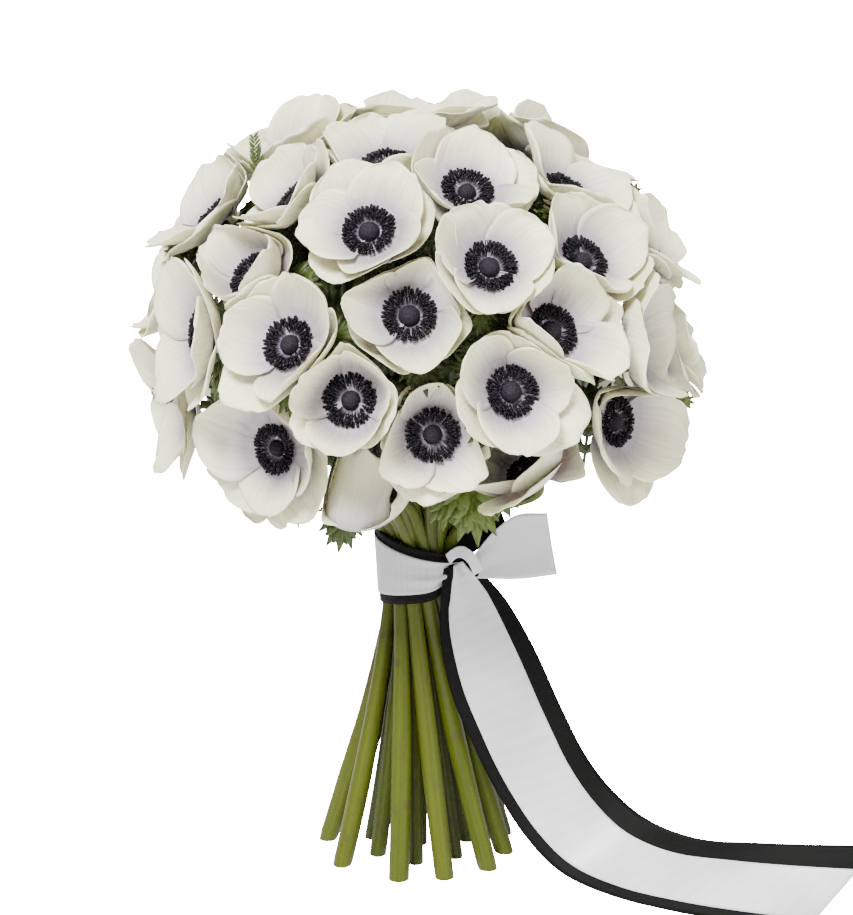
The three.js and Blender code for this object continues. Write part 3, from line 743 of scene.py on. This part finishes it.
def petal(pieces, bloom, planes, outer, angle, luck, size=1.0):
    """One petal: a grid bent to its bloom's cup, with a round tip and a waved rim."""
    scale, floor, inset = OUTER_WHORL if outer else INNER_WHORL
    reach = bloom.radius * scale * size * (1 - CUP_SHORTER * bloom.cup) * luck.uniform(0.97, 1.05)
    _, direction, outer_fold, inner_fold, longer = FOLDED.get(bloom.number, UNFOLDED)
    toward = smooth_step(0.1, 0.9, math.cos(angle - math.radians(direction)))
    fold = (outer_fold if outer else inner_fold) * toward
    reach *= 1 + (longer - 1) * toward
    share, radii, heights = petal_profile(bloom, outer, reach, luck.uniform(-4, 4), fold)
    width = bloom.radius * luck.uniform(*PETAL_WIDTH) * size
    waves = [luck.uniform(0, 6.3) for _ in range(5)]
    curl = luck.uniform(-0.03, 0.14)
    twist = 0.055 * bloom.radius
    notch = luck.uniform(-0.3, 0.3)
    depth = luck.uniform(0.0, 0.05)
    own = luck.random()

    def form(u, v):
        tip = 1 - 0.10 * np.abs(u) ** 2.5 - depth * np.exp(-((u - notch) / 0.16) ** 2)
        tip += 0.014 * np.sin(7 * u + waves[4]) + 0.004 * np.sin(15 * u + waves[3])
        along = v * (1 - (1 - tip) * v)
        radius = np.interp(along, share, radii)
        rise = np.interp(along, share, heights)
        half = width * np.interp(v, *zip(*WIDTHS))
        half = half * (1 + 0.03 * np.sin(9 * v + waves[2]))
        bend = np.maximum(radius, 4.5 + 0.35 * abs(fold) * v)
        turn = np.clip(u * half / bend, -1.25, 1.25)
        out = radius - bend * (1 - np.cos(turn))
        aside = bend * np.sin(turn)
        edge = np.abs(u) ** 3
        rim = smooth_step(0.55, 1.0, v)
        height = (rise + curl * half * u * u
                  + twist * u * (0.25 + 0.75 * v)
                  + 0.9 * edge * np.sin(8 * v + waves[0] + 2 * u)
                  + rim * (1.1 * np.sin(4.2 * u + waves[1]) + 0.3 * np.sin(11 * u + waves[2]))
                  + 0.5 * np.sin(3.0 * u + waves[3]) * smooth_step(0.3, 0.9, v))
        points = bloom.place(np.hypot(out, aside), angle + np.arctan2(aside, out), floor + height)
        return keep_in_cell(points, bloom, planes, inset)

    pieces.grid(16, 18, form, own)


def petal_finish():
    """Creamy white, with a cool tint towards the heart that is deepened by painted shade,
    with fine veins, and letting light through.
    """
    finish, tree, shader = new_finish("petal white", {
        "Roughness": 0.55, "Subsurface Weight": 0.25, "Subsurface Scale": 1.0,
        "Subsurface Radius": (0.003, 0.0026, 0.002), "Sheen Weight": 0.05})
    fibres = add_group(tree, FIBRES, Lines=34.0, Stretch=1.6)
    # A real tint with painted shade: cool grey near the heart, a greyer mid tone, then white.
    tone = ramp(tree, fibres["Along"],
                [[0.38, PETAL_HEART_TINT_AND_SHADE], [0.54, (0.58, 0.56, 0.48)], [0.80, PETAL_WHITE],
                 [0.9, PETAL_WHITE], [1.0, PETAL_EDGE]])
    tone = tinted(tree, 0.75, tone, fibres["Fibres"],
                  [[0.35, (0.80, 0.80, 0.78)], [0.6, (1, 1, 1)]])
    tone = tinted(tree, 1.0, tone, fibres["Own"],
                  [[0.0, (0.90, 0.89, 0.86)], [0.5, (1, 1, 0.99)],
                   [1.0, (0.97, 0.97, 0.93)]])
    dress(tree, shader, tone, fibres["Fibres"], 0.55, 0.0006)
    return finish


PETAL = petal_finish()
PETAL_GROUPS = [3] * 8 + [4] + [3] * 5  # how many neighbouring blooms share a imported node


def bloom_petals(bloom, node):
    """Both whorls of one bloom; the inner petals stand before the outer ones' gaps."""
    pieces = Pieces()
    luck = bloom.luck
    planes = cell_planes(bloom)
    roll = luck.uniform(0, 2 * math.pi)
    if bloom.number in FOLDED:
        roll = math.radians(FOLDED[bloom.number][0])
    for outer in (True, False):
        for index in range(PETALS):
            angle = roll + (index + 0.5 * outer) * 2 * math.pi / PETALS
            angle += luck.uniform(-0.12, 0.12)
            petal(pieces, bloom, planes, outer, angle, luck, luck.uniform(0.95, 1.05))
    finish_piece(pieces, f"petals_of_bloom_{bloom.number:02d}", [PETAL],
                 PETAL_THICKNESS, [node])


group_of = [group for group, size in enumerate(PETAL_GROUPS) for _ in range(size)]
for bloom, group in zip(blooms, group_of):
    bloom_petals(bloom, f"petals_{group + 1:02d}")


# ---- The dark hearts ----
# A velvety domed pistil, and round it more than a hundred stamens: pale threads, each with a
# small dark indigo anther on its end, the outermost making a toothed black ring.
PISTIL = [5.6, 6.9]  # its radius and its height
STAMEN_RINGS = [  # [count, radius, height, anther size] from the inside
    [18, 8.1, 4.8, 0.85], [30, 9.3, 5.3, 0.95], [36, 10.8, 4.9, 1.05], [42, 12.2, 4.0, 1.15],
]
THREAD_ROOT, THREAD_BEND = [4.6, 0.8], [7.2, 1.6]  # radius and height over the seat
THREAD_RADII = [0.34, 0.26, 0.24]
INDIGO = (0.0016, 0.0011, 0.0026)
INDIGO_DUST = (0.0065, 0.0045, 0.0105)
THREAD_PALE = (0.24, 0.21, 0.25)


def heart_finish(name, dark, light, roughness, grain):
    """A dark, dusty finish."""
    finish, tree, shader = new_finish(
        name, {"Roughness": roughness, "Specular IOR Level": 0.12})
    dust = cloud(tree, grain, 3.0)
    tone = ramp(tree, dust, [[0.4, dark], [0.72, light]])
    dress(tree, shader, tone, dust, 0.6, 0.0008)
    return finish


def thread_finish():
    """Pale at its root and indigo towards the anther."""
    finish, tree, shader = new_finish("stamen thread", {"Roughness": 0.5})
    tone = ramp(tree, add_group(tree, FIBRES)["Along"],
                [[0.0, THREAD_PALE], [0.35, (0.06, 0.05, 0.08)], [0.6, INDIGO]])
    tree.links.new(tone, shader.inputs["Base Color"])
    return finish


ANTHER = heart_finish("anther indigo", INDIGO, INDIGO_DUST, 0.42, 900.0)
VELVET = heart_finish("pistil velvet", (0.006, 0.005, 0.008), (0.024, 0.020, 0.030),
                      0.7, 1500.0)
THREAD = thread_finish()


def shape_of(bm):
    """The points, the faces and blank UV pairs of a small mesh, to be placed many times."""
    points = np.array([vert.co for vert in bm.verts])
    faces = [[vert.index for vert in face.verts] for face in bm.faces]
    bm.free()
    return points, faces, np.zeros(2 * sum(len(face) for face in faces))


def anther_shape():
    """A small two-lobed anther: a cube split once, rounded, and grooved along its middle."""
    bm = bmesh.new()
    bmesh.ops.create_cube(bm, size=2)
    bmesh.ops.subdivide_edges(bm, edges=bm.edges, cuts=1, use_grid_fill=True)
    for vert in bm.verts:
        vert.co /= max(1.0, vert.co.length / 1.18)
        pinch = 0.62 if abs(vert.co.x) < 0.1 and vert.co.z > 0.5 else 1.0
        vert.co = Vector((vert.co.x * 0.68, vert.co.y * 1.45, vert.co.z * 0.62 * pinch))
    bm.verts.index_update()
    return shape_of(bm)


def pistil_shape():
    """A lumpy ball, one wide and one high, which the heart sets as a dome over a shallow bowl."""
    bm = bmesh.new()
    bmesh.ops.create_uvsphere(bm, u_segments=22, v_segments=14, radius=1.0)
    for vert in bm.verts:
        lump = 1 + 0.06 * noise.noise(vert.co * 7)
        vert.co = vert.co * lump
    bm.verts.index_update()
    return shape_of(bm)


ANTHER_SHAPE = anther_shape()
PISTIL_SHAPE = pistil_shape()
PISTIL_FOOT = [1.2, 0.8]  # the height of the pistil's widest place, and of the bowl below


def heart(bloom):
    """The stamens, ring by ring, and the pistil in their midst."""
    pieces = Pieces()
    luck = bloom.luck
    side, top, axis, seat = bloom.side, bloom.top, bloom.axis, bloom.seat
    for count, ring, rise, size in STAMEN_RINGS:
        phase = luck.uniform(0, 6.3)
        for index in range(count):
            angle = phase + (index + luck.uniform(-0.22, 0.22)) * 2 * math.pi / count
            reach = ring * luck.uniform(0.95, 1.05)
            tall = rise + luck.uniform(-0.5, 0.6)
            out = turned(side, top, angle)
            cross = np.cross(axis, out)
            end = seat + out * reach + axis * tall
            root, bend = (seat + out * wide + axis * high
                          for wide, high in (THREAD_ROOT, THREAD_BEND))
            thread = bezier([root, bend, end - out * 0.3], 6)
            tube(pieces, thread, THREAD_RADII, 5, 4, luck.random())
            tilt = luck.uniform(0.1, 0.7)
            pointing = turned(out, axis, tilt)
            facing = np.array([cross, pointing, np.cross(cross, pointing)])
            points, faces, uvs = ANTHER_SHAPE
            pieces.add(end + points @ facing * size * luck.uniform(0.9, 1.12), faces, uvs, kind=2)
    points, faces, uvs = PISTIL_SHAPE
    radius, height = np.array(PISTIL) * luck.uniform(0.82, 1.04)
    middle, bowl = PISTIL_FOOT
    spin = luck.uniform(0, 6.3)
    x, y, z = points.T
    x, y = turned(x, -y, spin), turned(y, x, spin)
    rise = middle + np.where(z > 0, (height - middle) * z, bowl * z)
    pieces.add(seat + radius * (np.outer(x, side) + np.outer(y, top)) + np.outer(rise, axis),
               faces, uvs, kind=1)
    finish_piece(pieces, f"heart_of_bloom_{bloom.number:02d}",
                 [THREAD, VELVET, ANTHER], nodes=[f"heart_{bloom.number:02d}"])


for bloom in blooms:
    heart(bloom)


# ---- The ribbons ----
# A black grosgrain ribbon, 56 mm wide, and a narrower white satin one on it go round the stems
# together, are drawn tight in one knot at the right, and leave it as a short cut end and a
# long tail that runs down and away over the floor.
KNOT_TURN, KNOT_HEIGHT = 60.0, 171.0
BAND_LOW, BAND_HIGH = 150.0, 187.0
BAND_LOW_DRAWN, BAND_HIGH_DRAWN = 3.0, 7.0  # its edges lean together towards the knot
BAND_RADIUS, BAND_FLARE = 21.6, 2.6
BELOW_KNOT, ABOVE_KNOT = 6.0, 5.5  # its edges in the knot, from the knot's height
GATHER_TURN, CREASE_TURN = 24.0, 55.0  # degrees from the knot that they reach
WHITE_INSET = 5.5  # how far the white band's edges lie inside the black one's
CLOTH = 0.55  # thickness of either ribbon
ON_TOP = 0.9  # how far the white ribbon stands off the black one
TAIL = [  # the black ribbon's lower and upper edge, from the knot out
    [[14.3, -21, 171], [27, -17, 176]], [[12.6, -24, 154], [40, -16, 163]],
    [[12.2, -26, 132], [51, -19, 150]], [[18, -31, 103], [66, -24, 124]],
    [[29, -36, 77], [80, -27, 93]], [[42, -42, 51], [95, -31, 64]],
    [[59, -49, 25], [112, -38, 44]], [[79, -59, 7], [131, -51, 33]],
    [[105, -76, 1], [155, -72, 32]], [[136, -96, 0.9], [183, -89, 37]],
    [[169, -110, 0.9], [211, -101, 41]], [[204, -121, 0.9], [243, -112, 45]],
]
WHOLE_WIDTH = [[0.0, 0.0, 1.0], [1.0, 0.0, 1.0]]
TAIL_BORDERS = [  # [place along the tail, shares of width between which it is white]
    [0.0, 0.36, 0.77], [0.05, 0.24, 0.80], [0.12, 0.15, 0.82], [0.4, 0.12, 0.80],
    [0.7, 0.13, 0.73], [1.0, 0.13, 0.72],
]
SHORT_WHITE = [  # lower and upper edge of the white cut end, from the knot out
    [[25.5, -18.2, 162.5], [24.5, -17.5, 169]], [[33, -18.4, 165], [31, -17.6, 178]],
    [[43, -18.2, 164.5], [41.5, -16.8, 191]], [[58, -16.2, 164], [55, -14.4, 200.5]],
    [[78, -14, 166], [72, -12, 201]],
]
SHORT_BLACK = [
    [[24.3, -17, 174], [17.0, -17, 177.5]], [[31, -14.5, 179], [20.0, -12, 188]],
    [[39, -14, 184], [29.0, -9, 196]], [[51, -13.5, 190], [46.0, -10, 202.5]],
]
KNOT_BLACK = [  # the black ribbon where it comes out of the knot, under the strap
    [[14.3, -17.5, 166], [14.5, -18.5, 178.5]], [[19, -17.5, 161], [21.5, -18, 182]],
    [[28, -15, 160], [29.5, -15.5, 179.5]], [[36, -11.5, 165], [33, -12, 173]],
]
STRAP = [  # the white ribbon's turn over the knot: its two edges
    [[17.6, -21.5, 174.0], [15.0, -21.0, 179.4]], [[20.9, -24.5, 178.0], [19.8, -23.5, 183.8]],
    [[24.2, -26.0, 178.6], [25.3, -25.0, 185.1]], [[28.1, -26.0, 175.0], [32.0, -24.0, 179.6]],
    [[31.0, -23.5, 168.2], [36.5, -21.0, 170.8]],
]
BLACK = (0.0010, 0.0009, 0.0008)
BLACK_RIB = (0.0026, 0.0024, 0.0021)
SATIN = (0.53, 0.535, 0.54)
SATIN_LIGHT = (0.66, 0.66, 0.665)


def weave_group():
    """Ribs and threads of a woven ribbon, from its UV map, as a height from 0 to 1."""
    tree, given, result = new_group("ribbon weave", ["Across", "Along"], ["Height"])
    waves = []
    for share, name in zip(uv_shares(tree), ("Across", "Along")):
        turn = math_node(tree, "MULTIPLY", share, given[name])
        waves.append(math_node(tree, "SINE", turn))
    total = math_node(tree, "ADD", *waves)
    tree.links.new(math_node(tree, "MULTIPLY_ADD", total, 0.25, 0.5), result["Height"])
    return tree


WEAVE = weave_group()


def ribbon_finish(name, dark, light, settings, across, along, bump):
    """Woven cloth; the wrap round the stems is painted darker than the ends, which hang free:
    painted shade under the head.
    """
    finish, tree, shader = new_finish(name, settings)
    weave = add_group(tree, WEAVE, Across=across, Along=along)["Height"]
    tone = ramp(tree, cloud(tree, 22.0), [[0.35, dark], [0.65, light]])
    tone = tinted(tree, 0.8, tone, weave,
                  [[0.0, (0.86, 0.86, 0.86)], [0.6, (1, 1, 1)]])
    # Painted shade: the wrap (own 0) is darkened to 0.74, and the free ends (own 1) keep their
    # colour.
    tone = tinted(tree, 1.0, tone, add_group(tree, FIBRES)["Own"],
                  [[0.0, (0.74, 0.74, 0.74)], [1.0, (1, 1, 1)]])
    dress(tree, shader, tone, weave, bump, 0.0002)
    return finish


def smooth_rows(rows, share):
    """The two edge points at a share of the length, on a smooth curve through the rows."""
    rows = np.array(rows, dtype=float)
    padded = np.concatenate([[2 * rows[0] - rows[1]], rows, [2 * rows[-1] - rows[-2]]])
    place = np.clip(share, 0, 1) * (len(rows) - 1)
    step = np.minimum(place.astype(int), len(rows) - 2)
    t = (place - step)[:, None, None]
    a, b, c, d = (padded[step + offset] for offset in range(4))
    return 0.5 * (2 * b + (c - a) * t + (2 * a - 5 * b + 4 * c - d) * t ** 2
                  + (3 * b - a - 3 * c + d) * t ** 3)


def edge_strip(pieces, rows, across, along, borders=WHOLE_WIDTH, offset=0.0, fold=None):
    """A strip of ribbon between two edges, or a share of it, pushed off along its face."""
    def form(u, v):
        edges = smooth_rows(rows, v)
        places, lows, highs = zip(*borders)
        low, high = np.interp(v, places, lows), np.interp(v, places, highs)
        share = low + (high - low) * (u + 1) / 2
        spot = edges[:, 0] + (edges[:, 1] - edges[:, 0]) * share[:, None]
        ahead = smooth_rows(rows, v + 0.01).mean(axis=1)
        behind = smooth_rows(rows, v - 0.01).mean(axis=1)
        face = np.cross(edges[:, 1] - edges[:, 0], ahead - behind)
        face /= np.linalg.norm(face, axis=1)[:, None]
        face *= -np.sign(face[:, 1:2])
        push = offset + (fold(share, v) if fold else 0)
        return spot + face * np.broadcast_to(push, u.shape)[:, None]

    # Own 1: the free ribbon takes none of the painted shade.
    pieces.grid(across, along, form, 1.0)


def tail_fold(share, v):
    """The tail is gathered where it leaves the knot, in soft folds that die out downwards."""
    near = np.exp(-v / 0.10)
    far = np.exp(-((v - 0.45) / 0.25) ** 2)
    return (near * (1.8 * np.cos(2 * math.pi * (share * 1.9 - 0.62)) + 0.6)
            + 1.2 * far * np.sin(math.pi * share))


def short_fold(share, v):
    """The cut end opens from a pinch at the knot in a shallow hollow."""
    pinch = np.exp(-v / 0.3)
    return pinch * 1.6 * np.cos(2 * math.pi * (share * 1.5 + 0.1)) - 2.0 * np.sin(
        math.pi * share) * smooth_step(0.1, 0.7, v)


def band_strip(pieces, offset, borders):
    """The wrap round the stems, drawn together in creases where it runs into the knot."""
    def form(u, v):
        turn = KNOT_TURN + 360 * v
        lean = np.cos(2 * math.pi * v)
        away = np.minimum(v, 1 - v) * 360
        gather = np.exp(-(away / GATHER_TURN) ** 2)
        low = BAND_LOW + BAND_LOW_DRAWN * lean
        high = BAND_HIGH - BAND_HIGH_DRAWN * lean
        low = low + gather * (KNOT_HEIGHT - BELOW_KNOT - low)
        high = high + gather * (KNOT_HEIGHT + ABOVE_KNOT - high)
        inset = borders * (1 - 0.55 * gather)
        share = (u + 1) / 2
        z = low + inset + (high - low - 2 * inset) * share
        tall = (z - low) / (high - low)
        near = np.exp(-(away / CREASE_TURN) ** 2)
        creases = near * (1.5 * np.sin(17 * tall + 0.5) + 0.7 * np.sin(31 * tall + 2 * v))
        swell = 0.25 * np.sin(3 * np.radians(turn)) + 2.2 * gather
        radius = BAND_RADIUS + BAND_FLARE * tall + creases + swell + offset
        angle = np.radians(turn)
        return np.stack([radius * np.sin(angle), -radius * np.cos(angle), z], axis=1)

    # Own 0: the wrap takes the painted shade under the head.
    pieces.grid(18, 120, form, closed="along")


def black_ribbon():
    """The wrap, the tail and the two short stretches beside the knot."""
    finish = ribbon_finish("black grosgrain", BLACK, BLACK_RIB,
                           {"Roughness": 0.62, "Specular IOR Level": 0.1}, 40.0, 2200.0, 0.5)
    pieces = Pieces()
    band_strip(pieces, 0.0, 0.0)
    edge_strip(pieces, TAIL, 20, 110, fold=tail_fold)
    edge_strip(pieces, SHORT_BLACK, 6, 20)
    edge_strip(pieces, KNOT_BLACK, 10, 16)
    piece = finish_piece(pieces, "ribbon_black_cloth", [finish], CLOTH,
                         ["ribbon_black"])


def white_ribbon():
    """The wrap, the tail, the cut end and the turn over the knot."""
    finish = ribbon_finish("white satin", SATIN, SATIN_LIGHT,
                           {"Roughness": 0.32, "Sheen Weight": 0.3}, 900.0, 260.0, 0.12)
    pieces = Pieces()
    band_strip(pieces, ON_TOP, WHITE_INSET)
    edge_strip(pieces, TAIL, 20, 110, borders=TAIL_BORDERS, offset=ON_TOP, fold=tail_fold)
    edge_strip(pieces, SHORT_WHITE, 16, 30, fold=short_fold)
    edge_strip(pieces, STRAP, 8, 24)
    piece = finish_piece(pieces, "ribbon_white_cloth", [finish], CLOTH,
                         ["ribbon_white"])


black_ribbon()
white_ribbon()


# ---- The floor, the light and the camera ----
# A plain pale floor that runs on to a pale backdrop, soft light from above and both sides, and
# the camera a little over a metre away, looking slightly down. Places are in metres.
BACKDROP = 40.0  # how bright the floor and the backdrop look to the camera
SURROUNDINGS = 0.46  # how strongly the backdrop lights the bouquet
LAMPS = [  # [name, place, size, power]
    ["key", (-0.5, -1.3, 1.7), 0.7, 132], ["fill", (1.3, -1.1, 0.8), 1.0, 16],
    ["back", (0.2, 1.2, 1.3), 0.9, 20],
]
LIT_PLACE = Vector((0, 0, 0.25))
CAMERA_PLACE, CAMERA_DOWN = (0.0045, -1.1, 0.46), 11.8  # it looks down by so many degrees
SENSOR_WIDTH = 36
PICTURE_WIDTH, FOCAL_LENGTH = 853, 2000  # both in pixels


def floor_finish():
    """Pale, and glowing for the camera alone, so that it shows no shadow."""
    finish, tree, shader = new_finish("pale floor", {
        "Roughness": 0.9, "Base Color": (0.93, 0.93, 0.93, 1), "Emission Color": (1, 1, 1, 1)})
    seen = tree.nodes.new("ShaderNodeLightPath").outputs["Is Camera Ray"]
    glow = math_node(tree, "MULTIPLY", seen, BACKDROP)
    tree.links.new(glow, shader.inputs["Emission Strength"])
    return finish


def pale_floor():
    """A wide floor a hair below the cut ends."""
    bm = bmesh.new()
    bmesh.ops.create_grid(bm, x_segments=1, y_segments=1, size=6)
    mesh = bpy.data.meshes.new("floor")
    bm.to_mesh(mesh)
    bm.free()
    mesh.materials.append(floor_finish())
    floor = add_object("floor", mesh)
    floor.location.z = -0.0002


def studio():
    """The backdrop all round, and the lamps."""
    world = bpy.data.worlds.new("studio")
    bpy.context.scene.world = world
    world.use_nodes = True
    tree = world.node_tree
    background = tree.nodes["Background"]
    background.inputs["Color"].default_value = (1, 1, 1, 1)
    seen = tree.nodes.new("ShaderNodeLightPath")
    strength = tree.nodes.new("ShaderNodeMapRange")
    strength.inputs["To Min"].default_value = SURROUNDINGS
    strength.inputs["To Max"].default_value = BACKDROP
    tree.links.new(seen.outputs["Is Camera Ray"], strength.inputs["Value"])
    tree.links.new(strength.outputs["Result"], background.inputs["Strength"])
    for name, place, size, power in LAMPS:
        lamp = bpy.data.lights.new(name, "AREA")
        lamp.size = size
        lamp.energy = power
        light = add_object(name, lamp)
        light.location = place
        light.rotation_euler = (LIT_PLACE - light.location).to_track_quat("-Z", "Y").to_euler()


def photo_camera():
    """The camera that sees the bouquet as the photo does."""
    lens = bpy.data.cameras.new("camera")
    lens.sensor_fit = "HORIZONTAL"
    lens.sensor_width = SENSOR_WIDTH
    lens.lens = SENSOR_WIDTH * FOCAL_LENGTH / PICTURE_WIDTH
    camera = add_object("camera", lens)
    camera.location = CAMERA_PLACE
    camera.rotation_euler = (math.radians(90 - CAMERA_DOWN), 0, 0)
    bpy.context.scene.camera = camera


pale_floor()
studio()
photo_camera()
